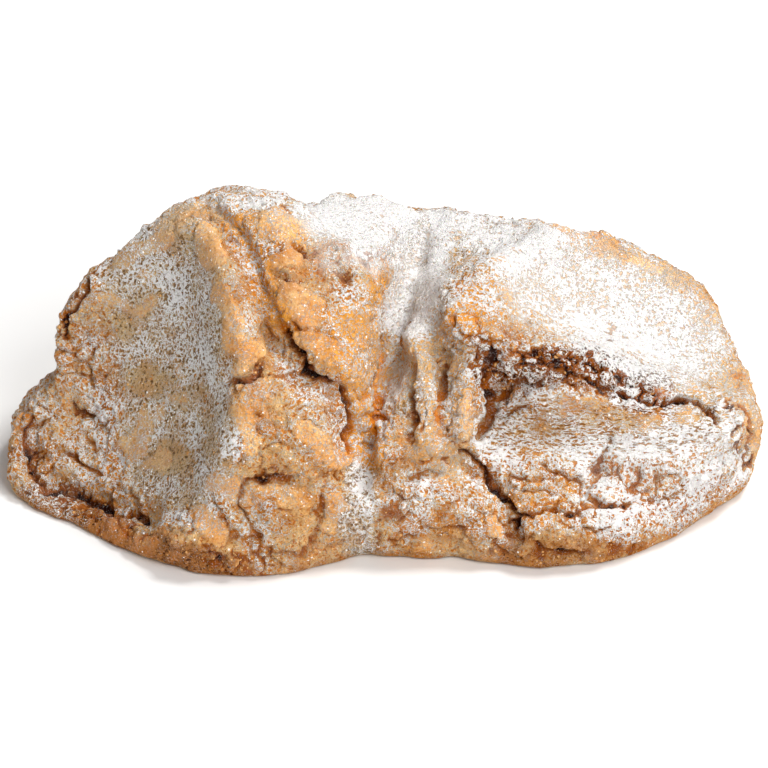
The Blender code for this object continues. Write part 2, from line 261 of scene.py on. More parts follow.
@dataclass(frozen=True)
class Crack:
    """A crack torn into the crust: its route, how far it opens to the left and right of it, and its depth.

    The narrow side is a steep wall under the crust's edge, which curls up, and the wide side slopes up.
    """

    route: tuple[tuple[float, float], ...]
    left: float
    right: float
    depth: float
    side: Side = Side.FRONT
    taper: float = 0.9
    start: float = 0.2
    curl_rise: float = 0.15
    curl_reach: float = 0.35
    open_from: float = 0.02

    def profile(self, drawn: np.ndarray) -> tuple[np.ndarray, np.ndarray]:
        """The crack's depth at each drawn point, and how much its steep edge curls up there."""
        sided, before, after = route_distance(drawn, self.route).T
        steep_on_left = self.left < self.right
        opened = np.where(sided > 0, sided / self.left, -sided / self.right)
        ends = smooth_step(0, self.taper, before + self.start)
        ends = ends * smooth_step(0, self.taper, after + self.start)
        sunk = self.depth * ends * (1 - smooth_step(0.0, 1.0, opened))
        out = (sided if steep_on_left else -sided) - min(self.left, self.right)
        curl = ends * np.clip(out / self.curl_rise, 0, 1) * np.exp(-np.clip(out, 0, None) / self.curl_reach)
        return sunk, np.where(sunk > self.open_from, 0, curl) * min(self.depth, 1.0)


CRACKS = table(
    Crack,
    (((-14.0, 20.7), (-12.5, 19.5), (-11.4, 18.3), (-10.7, 16.6),
      (-10.1, 14.9), (-9.2, 12.6), (-8.5, 10.5)), 0.9, 0.25, 0.55),
    (((-8.8, 10.9), (-7.4, 9.6), (-6.6, 7.8), (-5.6, 6.9), (-3.9, 6.4)), 0.6, 0.2, 1.3),
    (((-3.7, 6.5), (-3.0, 5.0), (-2.8, 3.6), (-3.0, 2.2), (-2.6, 0.9)), 0.5, 0.25, 0.95),
    (((-12.8, 6.6), (-11.3, 6.9), (-10.2, 7.4), (-9.6, 8.5)), 0.7, 0.2, 0.8),
    (((-7.6, 18.1), (-6.9, 17.4), (-5.9, 16.7)), 0.22, 0.3, 0.6),
    (((-9.3, 15.1), (-7.6, 14.9), (-5.8, 15.3)), 0.35, 0.25, 0.5),
    (((-4.3, 16.1), (-3.4, 15.4), (-2.5, 14.4)), 0.8, 0.18, 0.9),
    (((-0.1, 10.0), (-0.3, 6.6), (-0.5, 4.2), (-1.0, 2.0)), 0.3, 0.6, 0.6),
    (((-6.9, -1.0), (-9.0, -0.9), (-11.2, -1.3),
      (-11.7, -3.0), (-10.8, -4.5), (-10.0, -6.1)), 0.25, 0.5, 0.45),
    (((-10.0, -6.1), (-8.0, -6.9), (-6.6, -7.0), (-5.3, -4.9), (-4.9, -3.0)), 0.25, 0.4, 0.4),
    (((-28.8, 4.4), (-29.4, 2.1), (-29.1, -0.1),
      (-27.6, -1.8), (-25.0, -2.2), (-23.1, -3.0)), 0.2, 0.5, 0.65),
    (((-23.6, -2.9), (-22.3, -3.7), (-20.4, -3.8), (-18.7, -4.4)), 0.2, 0.5, 0.7),
    (((-26.4, 1.6), (-25.0, 0.4), (-23.2, -0.6)), 0.2, 0.5, 0.6),
    (((-25.7, 5.4), (-25.4, 4.4), (-24.3, 4.2), (-23.6, 3.9)), 0.2, 0.4, 0.6),
    (((-24.3, 16.2), (-24.5, 14.4), (-25.0, 13.5), (-26.0, 12.2), (-26.0, 10.3)), 0.25, 0.5, 0.7),
    (((2.3, 8.7), (2.1, 6.7), (2.3, 4.8), (2.4, 3.7), (1.8, 2.1)), 0.4, 0.4, 0.7),
    (((4.9, 8.4), (4.8, 6.7), (4.6, 4.8), (4.4, 3.0)), 0.4, 0.4, 0.7),
    (((8.4, 8.9), (8.6, 6.3), (8.7, 4.6), (8.4, 3.4), (7.4, 2.3)), 0.5, 0.7, 0.8),
    (((5.6, 11.2), (6.3, 10.5), (7.6, 10.6), (8.4, 9.6)), 0.5, 0.3, 0.4),
    (((8.9, 5.3), (10.1, 6.1), (11.0, 6.8), (12.3, 6.8),
      (13.5, 8.0), (14.8, 7.6), (16.4, 7.1), (18.9, 6.0)), 0.25, 0.4, 0.6),
    (((10.6, 8.6), (12.4, 8.9), (14.0, 8.4), (15.2, 8.6)), 0.2, 0.35, 0.5),
    (((9.0, 3.9), (10.6, 4.7), (12.1, 4.6)), 0.2, 0.4, 0.5),
    (((18.7, 6.1), (20.5, 5.5), (22.5, 5.1), (23.8, 5.6),
      (25.4, 5.4), (26.4, 4.6), (27.4, 3.4)), 0.2, 0.4, 1.1),
    (((9.6, 6.4), (11.0, 6.9), (12.2, 6.6), (13.3, 6.8)), 0.12, 0.28, 0.7),
    (((14.6, 9.0), (15.8, 8.6), (16.8, 8.6), (17.8, 8.0)), 0.12, 0.25, 0.6),
    (((17.5, 6.9), (18.2, 6.2), (19.0, 5.9)), 0.14, 0.25, 0.7),
    (((25.8, 4.9), (26.5, 4.2), (27.0, 3.4)), 0.15, 0.25, 0.6),
    (((18.4, 2.4), (18.0, 1.2), (17.3, 0.3), (17.4, -0.4), (16.3, -2.0)), 0.22, 0.22, 0.5),
    (((13.6, -0.5), (15.5, -0.9), (16.1, -2.0), (16.1, -3.3)), 0.2, 0.25, 0.5),
    (((16.1, -3.2), (15.2, -3.8), (13.2, -3.5), (11.1, -3.8), (9.9, -4.7)), 0.15, 0.35, 0.7),
    (((12.4, 0.6), (13.4, -0.2), (15.0, -0.8), (16.2, -0.6)), 0.12, 0.3, 0.5),
    (((16.0, -4.6), (17.2, -5.0), (18.9, -4.7)), 0.12, 0.3, 0.5),
    (((16.3, -2.4), (18.0, -3.0), (19.6, -3.0), (20.8, -2.5)), 0.2, 0.4, 0.6),
    (((12.0, -6.1), (13.6, -6.6), (15.5, -6.6), (16.1, -7.2)), 0.2, 0.6, 0.6),
    (((5.8, 1.1), (7.0, 0.8), (7.7, 0.0), (8.3, -1.1),
      (8.9, -2.0), (10.0, -3.0), (10.7, -4.1), (10.6, -5.4)), 0.5, 0.2, 0.9),
    (((1.6, -1.0), (3.0, -0.5), (4.9, -0.2)), 0.2, 0.45, 0.4),
    (((29.3, 3.4), (30.1, 2.4), (29.9, 1.4), (29.5, 0.6), (29.5, -0.5)), 0.3, 0.3, 0.6),
    (((28.7, 10.9), (29.3, 9.2), (30.5, 7.0)), 0.3, 0.3, 0.5),
    (((6.0, 15.0), (5.0, 12.4), (5.6, 10.0), (4.2, 7.6), (4.6, 5.0)), 0.5, 0.2, 0.55, Side.BACK, 2.0),
    (((5.6, 10.0), (7.8, 8.8), (9.0, 6.6)), 0.2, 0.45, 0.45, Side.BACK, 1.5),
    (((-9.0, 11.0), (-10.4, 9.2), (-9.8, 7.4), (-11.4, 5.6)), 0.4, 0.2, 0.45, Side.BACK, 1.5),
    (((-24.0, 5.0), (-21.6, 4.0), (-19.6, 4.6), (-17.4, 3.0)), 0.2, 0.5, 0.55, Side.BACK, 1.5),
    (((15.0, 1.0), (17.4, 1.6), (19.0, 0.6), (21.6, 1.2)), 0.2, 0.4, 0.5, Side.BACK, 1.5),
    (((-2.0, 3.0), (-0.6, 1.6), (-1.0, 0.0)), 0.3, 0.2, 0.4, Side.BACK, 1.0),
)

# The fingertips left the dough smooth where they pressed it.
PRESSED = table(
    Stroke,
    (((-18.2, 14.8), (-16.6, 2.0)), 4.8),
    (((13.2, 15.9), (24.0, 10.2)), 3.8),
    (((10.5, 3.0), (25.0, 2.4)), 2.4),
    (((-4.5, 20.2), (0.5, 20.2)), 2.0),
)

# The soft dough in the cleft has hardly any crumbs.
CALM = table(Stroke, (((3.8, 20.0), (2.8, 14.0), (0.8, 8.0)), 2.2, 0.9))

# The rims puffed up a little here.
SWELLS = table(
    Stroke,
    (((13.4, 19.2), (17.6, 19.2)), 2.0, 0.7),
    (((-13.0, 20.6), (-9.0, 21.6)), 1.6, 0.25),
    soft=0.8,
)

# Here the crust broke up into crumbs; the gaps between them are sunk and painted dark as shade.
RUGGED = table(
    Stroke,
    (((9.3, 8.4), (13.0, 8.4), (17.5, 7.2), (21.5, 5.2)), 1.5),
    (((-28.8, 0.5), (-26.0, -2.4), (-20.5, -4.6)), 1.2, 0.6),
    (((-26.2, 15.0), (-26.3, 10.5)), 1.0, 0.7),
    (((11.5, -3.4), (18.5, -3.4)), 1.2, 0.5),
    (((11.5, -7.0), (19.5, -7.2)), 0.9, 0.2),
    (((-15.0, -7.2), (-10.0, -8.2)), 1.2, 0.6),
    (((-1.5, 17.0), (-3.5, 15.5)), 1.0, 0.6),
    (((6.2, 11.5), (8.4, 9.8)), 1.2, 0.35),
    (((2.0, 8.6), (2.2, 2.4)), 0.9, 0.5),
    (((4.8, 8.6), (4.6, 2.6)), 0.9, 0.5),
    (((7.2, 8.8), (7.2, 2.6)), 0.9, 0.5),
    (((28.5, 4.8), (30.0, 0.8)), 1.2, 0.7),
    (((3.4, 0.5), (6.5, 1.5)), 1.0, 0.6),
    (((-12.0, 3.0), (-18.0, 9.0)), 2.5, 0.5, Side.BACK),
    (((12.0, 2.0), (20.0, 6.0)), 2.0, 0.5, Side.BACK),
)

# These grooves lie open to the light, so they stay golden.
OPEN = table(
    Stroke,
    (((-14.0, 20.7), (-11.4, 18.3), (-9.2, 12.6)), 1.6, 0.75),
    (((-4.0, 16.0), (-2.6, 11.0), (-1.6, 7.5)), 1.4, 0.5),
    (((2.0, 9.0), (4.8, 6.0), (7.0, 3.0)), 2.6, 0.35),
)

# Crust that baked smooth, in plates.
PLATES = table(
    Stroke,
    (((-21.2, 16.7), (-18.0, 18.5)), 1.1),
    (((-22.9, 13.6), (-20.0, 12.6)), 0.8, 0.8),
    (((-20.8, 1.3), (-18.4, 4.6)), 1.0, 0.8),
    (((-19.2, 0.5), (-18.0, 0.9)), 0.7, 0.8),
    (((-14.7, 18.5), (-13.9, 16.7)), 1.3),
    (((-13.0, 13.6), (-12.0, 9.9)), 1.1),
    (((-11.8, 7.5), (-10.8, 9.5)), 0.9),
    (((-9.3, 19.8), (-6.9, 18.9)), 1.1),
    (((-8.9, 16.7), (-7.2, 17.3)), 0.9),
    (((-7.5, 13.6), (-6.2, 12.6)), 1.5),
    (((-6.5, 10.2), (-4.4, 9.3)), 1.1),
    (((-11.4, 5.4), (-7.7, 6.2), (-8.9, 4.6)), 1.4, 0.6),
    (((-10.6, 2.1), (-11.8, 4.6)), 0.8),
    (((-6.5, 3.0), (-4.8, 1.7)), 0.9),
    (((-4.8, 0.9), (-3.2, 0.1)), 0.7),
    (((-4.0, -2.8), (-4.4, -4.4)), 0.9),
    (((-3.2, -3.2),), 0.7),
    (((-13.9, -1.1), (-12.2, -2.0)), 1.0),
    (((-15.1, -3.6), (-13.9, -5.2)), 1.1),
    (((-22.5, -4.8), (-19.2, -6.5)), 1.0, 0.8),
    (((-10.6, -2.0), (-6.9, -2.8)), 1.1, 0.7),
    (((0.5, -2.8), (1.3, -5.2)), 1.1, 0.5),
    (((3.8, -3.2), (7.0, -2.8)), 0.8, 0.5),
    (((8.7, -4.4), (9.1, -5.7)), 0.7),
    (((12.8, -6.5), (21.0, -6.5)), 0.9, 0.45),
    (((13.2, -4.0), (14.4, -4.8)), 1.0, 0.6),
    (((6.4, 5.4), (7.0, 4.2)), 0.7),
    (((21.0, 16.7), (22.2, 15.9)), 0.6),
    (((14.0, 19.5), (17.7, 18.9)), 0.6),
)

# How much thicker or thinner the icing sugar lies.
SUGARED = table(
    Stroke,
    (((-18.2, 14.8), (-16.3, 1.3)), 4.8, 0.08),
    (((-20.4, 18.6), (-17.0, 14.5)), 1.5, 0.18),
    (((-15.8, 17.5), (-13.8, 8.5), (-12.4, 1.5)), 0.9, 0.16),
    (((-20.6, 11.5), (-19.4, 13.5)), 1.3, -0.22),
    (((-19.5, 7.0), (-15.5, 5.5)), 1.2, -0.22),
    (((-18.5, 1.0), (-16.4, 0.3)), 1.2, -0.25),
    (((-27.8, 5.4), (-24.1, -0.3)), 2.9, 0.06),
    (((-24.9, 14.4), (-20.0, 17.7)), 2.0, 0.1),
    (((-15.1, 19.3), (-12.2, 11.1), (-10.6, 5.4)), 2.0, -0.12),
    (((-13.5, 22.0), (-7.7, 21.6)), 1.3, 0.4),
    (((-8.1, 18.5), (-6.1, 9.5)), 2.5, -0.10),
    (((-4.8, 14.8), (-1.6, 11.1), (-2.8, 3.8)), 2.3, 0.12),
    (((-5.2, 20.6), (0.9, 20.6), (-1.1, 17.7)), 2.0, 0.40),
    # In the cleft the sugar is partly real and partly painted light against the cleft's shade.
    (((3.4, 19.5), (2.6, 15.0), (1.8, 12.0)), 2.0, 0.4),
    (((5.6, 11.2), (8.6, 15.4), (12.4, 19.0)), 1.7, 0.14),
    (((13.2, 15.9), (23.8, 10.4)), 3.9, 0.37),
    (((5.5, 20.2), (9.5, 19.4)), 1.8, 0.3),
    (((18.5, 18.6), (24.0, 15.3), (28.4, 10.5), (30.6, 4.0)), 1.5, -0.04),
    (((11.6, 19.4), (18.5, 18.6)), 1.3, -0.22),
    (((9.6, 8.4), (16.4, 8.6), (22.0, 5.9)), 1.7, 0.12),
    (((9.5, 3.0), (25.9, 3.8)), 1.8, 0.09),
    (((17.7, -0.3), (27.5, 1.3)), 2.6, 0.24),
    (((10.3, -1.1), (16.1, -2.0)), 2.0, 0.12),
    (((18.5, -4.2), (23.5, -3.8), (28.5, -0.5)), 1.8, 0.34),
    (((0.1, 19.0), (-0.7, 13.6), (-1.6, 3.0)), 1.5, -0.08),
    (((2.2, 10.0), (2.4, 1.8)), 0.8, 0.10),
    (((4.9, 10.0), (4.8, 1.8)), 0.8, 0.10),
    (((7.4, 9.5), (7.3, 1.3)), 1.2, 0.18),
    (((-0.3, -4.4), (9.5, -5.2)), 2.0, 0.05),
    (((-2.0, -1.1), (-2.1, -6.1)), 1.3, 0.22),
    (((11.1, -6.5), (20.0, -6.6)), 1.2, -0.28),
    (((-11.0, 5.4), (-6.1, 3.8)), 2.5, -0.06),
    (((-6.9, -4.4),), 1.6, -0.06),
    (((-22.5, -4.8), (-12.6, -7.7)), 1.8, -0.2),
    (((-16.0, 8.0), (0.0, 12.0), (18.0, 10.0)), 6.0, 0.2, Side.BACK),
)

# Sugar as fine as dust, which veils the crust.
VEILED = table(
    Stroke,
    (((13.2, 15.9), (23.8, 10.4)), 3.6, 0.44),
    (((5.5, 20.2), (9.5, 19.4)), 1.7, 0.5),
    (((18.5, 19.2), (24.5, 15.8), (29.0, 10.5), (30.8, 4.0)), 2.2, 0.08),
    (((-5.0, 19.0), (-4.0, 17.5)), 1.6, 0.3),
    (((-5.2, 20.6), (0.9, 20.6), (-1.1, 17.7)), 2.0, 0.6),
    # In the cleft the veil is partly the real pale dusting and partly painted light against the cleft's
    # shade.
    (((3.4, 19.5), (2.6, 15.0), (1.8, 12.5)), 1.9, 0.75),
    (((-18.2, 14.8), (-16.3, 1.3)), 4.6, 0.02),
    (((17.7, -0.3), (27.5, 1.3)), 2.6, 0.10),
    (((-2.0, -1.1), (-2.1, -6.1)), 1.3, 0.1),
)

# A fingertip slid along here and drew the sugar out.
SLID = table(
    Stroke,
    (((9.5, 3.2), (25.9, 3.6)), 2.2),
)

# Soft inner dough that baked bright orange.
BRIGHT = table(
    Stroke,
    (((13.2, 19.4), (18.5, 18.8)), 1.0, 0.5),
    (((15.0, 18.4), (17.2, 17.8)), 0.8, 0.7),
    (((0.6, 19.6), (-0.4, 13.6), (-0.8, 6.0)), 1.2, 0.85),
    (((-2.8, 11.6), (-1.0, 5.4), (-1.6, 1.2)), 1.7, 0.95),
    (((-12.2, 20.6), (-8.5, 11.1)), 1.1, 0.6),
    (((-7.5, 13.6), (-6.2, 12.6), (-4.4, 9.3)), 1.7, 0.4),
    (((-9.3, 19.8), (-6.9, 18.9)), 1.3, 0.35),
    (((13.2, 19.2), (17.7, 18.9)), 1.0, 0.7),
    (((5.8, 11.4), (8.8, 15.8), (13.0, 19.4), (17.5, 19.6)), 1.3, 0.7),
    (((5.4, 11.1),), 1.1, 0.5),
    (((18.0, 19.2), (24.5, 16.0), (29.2, 11.1), (30.7, 3.0)), 1.6, 0.5),
    (((3.4, 10.5), (4.4, 5.0), (3.6, 2.0)), 2.0, 0.4),
    (((7.6, 8.0), (7.6, 3.0)), 1.2, 0.25),
    (((9.5, 3.0), (25.9, 3.8)), 1.8, -0.3),
    (((7.9, 13.6), (8.7, 11.1)), 1.1, 0.6),
    (((-28.6, 3.0), (-23.3, -1.1)), 2.0, 0.25),
    (((9.5, -2.8), (19.3, -2.8)), 2.0, 0.25),
)

# Baked darker. The strip under the ridge is painted shade instead.
BROWNED = table(
    Stroke,
    (((9.1, 7.7), (17.7, 8.1), (22.2, 5.6)), 1.8, 1.0),
    (((10.7, -6.5), (20.0, -6.8)), 1.4, 0.45),
    (((-29.0, -2.8), (-23.3, -5.2)), 1.6, 0.5),
    (((-29.4, 1.3),), 1.6, 0.4),
    (((-26.1, 13.6), (-24.5, 15.7)), 1.0, 0.45),
    (((-23.5, -5.0), (-18.0, -7.0), (-12.6, -8.5)), 1.6, 0.65),
    # Painted shade: the top of the finger press, under the ridge's overhang.
    (((9.5, 4.9), (20.0, 4.5)), 1.4, 0.4),
    (((7.9, 9.9),), 1.1, 0.5),
    (((-6.9, -8.1), (9.5, -7.7)), 0.8, 0.3),
    (((-8.9, 16.7), (-6.4, 12.8), (-4.6, 9.6)), 1.4, 0.45),
)

# Pale dough and crust, which hardly browned.
PALE = table(
    Stroke,
    (((13.2, 15.9), (23.8, 10.4)), 4.8),
    (((18.5, 19.0), (22.5, 17.0), (28.5, 11.5), (30.5, 5.0), (29.8, 1.5)), 2.8, 0.9),
    (((-5.2, 20.6), (1.0, 20.6)), 2.4),
    (((-13.0, 21.8), (-8.0, 21.4)), 1.6, 0.7),
    (((3.8, 19.8), (2.6, 15.0), (0.8, 8.0)), 2.4),
    (((5.5, 20.0), (12.5, 19.6), (18.5, 19.0)), 2.0, 0.9),
    (((-17.5, 20.5), (-15.0, 20.5)), 1.6, 0.5),
    (((-1.6, 12.0), (-1.0, 3.0)), 1.7, 0.45),
    (((2.5, 10.0), (4.2, 6.0), (4.6, 2.0)), 2.8, 0.7),
    (((-16.0, 8.0), (18.0, 10.0)), 5.0, 0.3, Side.BACK),
)

# Crust of the colour of cream, with dark grey hollows. Along the finger press under the ridge it is painted
# shade.
CREAMY = table(
    Stroke,
    (((3.4, 19.8), (2.8, 14.0), (0.9, 7.0)), 2.2, 1.0),
    (((-5.2, 20.6), (1.3, 20.6)), 2.5, 0.3),
    (((7.9, 18.9),), 2.5, 0.9),
    (((-18.4, 16.1), (-16.5, 1.3)), 4.5, 0.55, Side.FRONT, 0.25),
    # Painted shade: dark grey hollows along the finger press, for the ridge's shadow.
    (((9.5, 3.2), (25.9, 3.6)), 1.9, 0.32),
    (((-2.0, -1.1), (-2.1, -6.1)), 1.5, 0.5),
    (((12.8, 16.5), (25.1, 9.9)), 4.1, 0.3),
)


@dataclass(frozen=True)
class Zone:
    """A quality of the crust: how much of it there is everywhere, and the strokes that add or take away.

    It is patchy in wide and narrow waves, and it may grow where the crust browned near the tray, or faces up.
    """

    everywhere: float
    strokes: tuple[Stroke, ...]
    patchy: float = 0.0
    browning: float = 0.0
    facing_up: float = 0.0
    wide: float = 3.2
    narrow: float = 1.4
    browned: tuple[float, float] = (4.5, 0.3)

    def amount(self, canvas: Canvas, seed: float) -> np.ndarray:
        """The amount at each point of the canvas, from 0 to 1, in its own set of patches."""
        total = self.everywhere + canvas.weights(self.strokes).sum(axis=0)
        total += self.patchy * waves(canvas.points, self.wide, seed)
        total += self.patchy / 2 * waves(canvas.points, self.narrow, seed + 1)
        total += self.browning * smooth_step(*self.browned, canvas.points[:, 2])
        total += self.facing_up * canvas.normals[:, 2]
        return np.clip(total, 0, 1)


ZONES = {
    "sugar": Zone(0.25, SUGARED, patchy=0.28, browning=-0.12, facing_up=0.10),
    "film": Zone(0.0, VEILED, patchy=0.06),
    "streak": Zone(0.0, SLID),
    "orange": Zone(0.12, BRIGHT, patchy=0.25),
    "brown": Zone(0.0, BROWNED, patchy=0.10, browning=0.20),
    "pale": Zone(0.0, PALE, patchy=0.1),
    "cream": Zone(0.0, CREAMY, patchy=0.05),
}


class Value:
    """A number in a shader: Python's own operators add the Math nodes."""

    def __init__(self, shader: "Shader", socket: bpy.types.NodeSocket) -> None:
        """Wraps the socket that the number comes from."""
        self.shader = shader
        self.socket = socket

    def math(self, operation: str, *others: "Value | float", first: "Value | float | None" = None) -> "Value":
        """A Math node on this number and others, or on first and this number."""
        terms = (self, *others) if first is None else (first, self)
        node = self.shader.add("ShaderNodeMath", {"operation": operation}, dict(enumerate(terms)))
        return Value(self.shader, node.outputs[0])

    def __add__(self, other: "Value | float") -> "Value":
        """self + other."""
        return self.math("ADD", other)

    __radd__ = __add__

    def __sub__(self, other: "Value | float") -> "Value":
        """self - other."""
        return self.math("SUBTRACT", other)

    def __rsub__(self, other: float) -> "Value":
        """other - self."""
        return self.math("SUBTRACT", first=other)

    def __mul__(self, other: "Value | float") -> "Value":
        """self * other."""
        return self.math("MULTIPLY", other)

    __rmul__ = __mul__

    def most(self, other: "Value | float") -> "Value":
        """The larger of the two."""
        return self.math("MAXIMUM", other)

    def step(self, low: "Value | float", high: "Value | float") -> "Value":
        """Rises smoothly from 0 where this is low to 1 where it is high."""
        node = self.shader.add(
            "ShaderNodeMapRange",
            {"interpolation_type": "SMOOTHSTEP"},
            {"Value": self, "From Min": low, "From Max": high, "To Min": 0.0, "To Max": 1.0},
        )
        return Value(self.shader, node.outputs["Result"])


class Shader:
    """Adds nodes to the tree of one material."""

    # Blender's noise keeps close to its middle, so it is spread by this much.
    spread: float = 2.2

    def __init__(self, name: str) -> None:
        """Makes the material, with its own shader node."""
        self.material = bpy.data.materials.new(name)
        self.material.use_nodes = True
        self.tree = self.material.node_tree
        self.surface = self.tree.nodes["Principled BSDF"]

    def add(self, kind: str, settings: dict[str, object], inputs: dict[str | int, object]) -> bpy.types.Node:
        """Adds one node.

        Args:
            kind: the node's type.
            settings: its properties, which are set first.
            inputs: a value, a socket or a Value for each input.

        Returns:
            The node.
        """
        node = self.tree.nodes.new(kind)
        for name, value in settings.items():
            setattr(node, name, value)
        for name, value in inputs.items():
            self.feed(node.inputs[name], value)
        return node

    def feed(self, socket: bpy.types.NodeSocket, value: object) -> None:
        """Links the input to a Value or a socket, or sets it."""
        if isinstance(value, Value):
            self.tree.links.new(value.socket, socket)
        elif isinstance(value, bpy.types.NodeSocket):
            self.tree.links.new(value, socket)
        else:
            socket.default_value = value

    def attribute(self, name: str) -> Value:
        """The number that the mesh stores under the name."""
        node = self.add("ShaderNodeAttribute", {"attribute_name": name}, {})
        return Value(self, node.outputs["Fac"])

    def place(self) -> bpy.types.NodeSocket:
        """The point on the object, in millimetres."""
        where = self.add("ShaderNodeTexCoord", {}, {}).outputs["Object"]
        return self.vector("SCALE", {0: where, "Scale": 1 / MM})

    def vector(self, operation: str, inputs: dict[str | int, object]) -> bpy.types.NodeSocket:
        """What a Vector Math node gives."""
        return self.add("ShaderNodeVectorMath", {"operation": operation}, inputs).outputs[0]

    def drawn_out(self, place: bpy.types.NodeSocket, across: float, up: float) -> bpy.types.NodeSocket:
        """The place squeezed across and up, so that a pattern on it is drawn out the other way."""
        return self.vector("MULTIPLY", {0: place, 1: (across, (across + up) / 2, up)})

    def warped(self, place: bpy.types.NodeSocket, scale: float, amount: float) -> bpy.types.NodeSocket:
        """The place pushed about by noise of the scale, by up to the amount."""
        push = self.add("ShaderNodeTexNoise", {}, {"Vector": place, "Scale": scale, "Detail": 2.0})
        centred = self.vector("SUBTRACT", {0: push.outputs["Color"], 1: (0.5, 0.5, 0.5)})
        moved = self.vector("SCALE", {0: centred, "Scale": 2 * amount})
        return self.vector("ADD", {0: place, 1: moved})

    def cloud(
        self, place: bpy.types.NodeSocket, scale: float, detail: float = 3.0, rough: float = 0.55
    ) -> Value:
        """Noise that spreads from about 0 to 1."""
        inputs = {"Vector": place, "Scale": scale, "Detail": detail, "Roughness": rough}
        node = self.add("ShaderNodeTexNoise", {}, inputs)
        return (Value(self, node.outputs["Fac"]) - 0.5) * self.spread + 0.5

    def mix(self, share: Value | float, first: object, second: object) -> bpy.types.NodeSocket:
        """The first colour, changing to the second as share rises."""
        node = self.add(
            "ShaderNodeMix", {"data_type": "RGBA", "clamp_factor": True}, {0: share, 6: first, 7: second}
        )
        return node.outputs[2]

    def bump(self, height: Value, strength: float = 1.0) -> None:
        """Raises the surface's shading by the height in millimetres."""
        node = self.add("ShaderNodeBump", {}, {"Strength": strength, "Distance": MM, "Height": height})
        self.feed(self.surface.inputs["Normal"], node.outputs[0])

    def dressed(self, inputs: dict[str, object]) -> bpy.types.Material:
        """The material, with each of its surface's inputs linked or set."""
        for name, value in inputs.items():
            self.feed(self.surface.inputs[name], value)
        return self.material


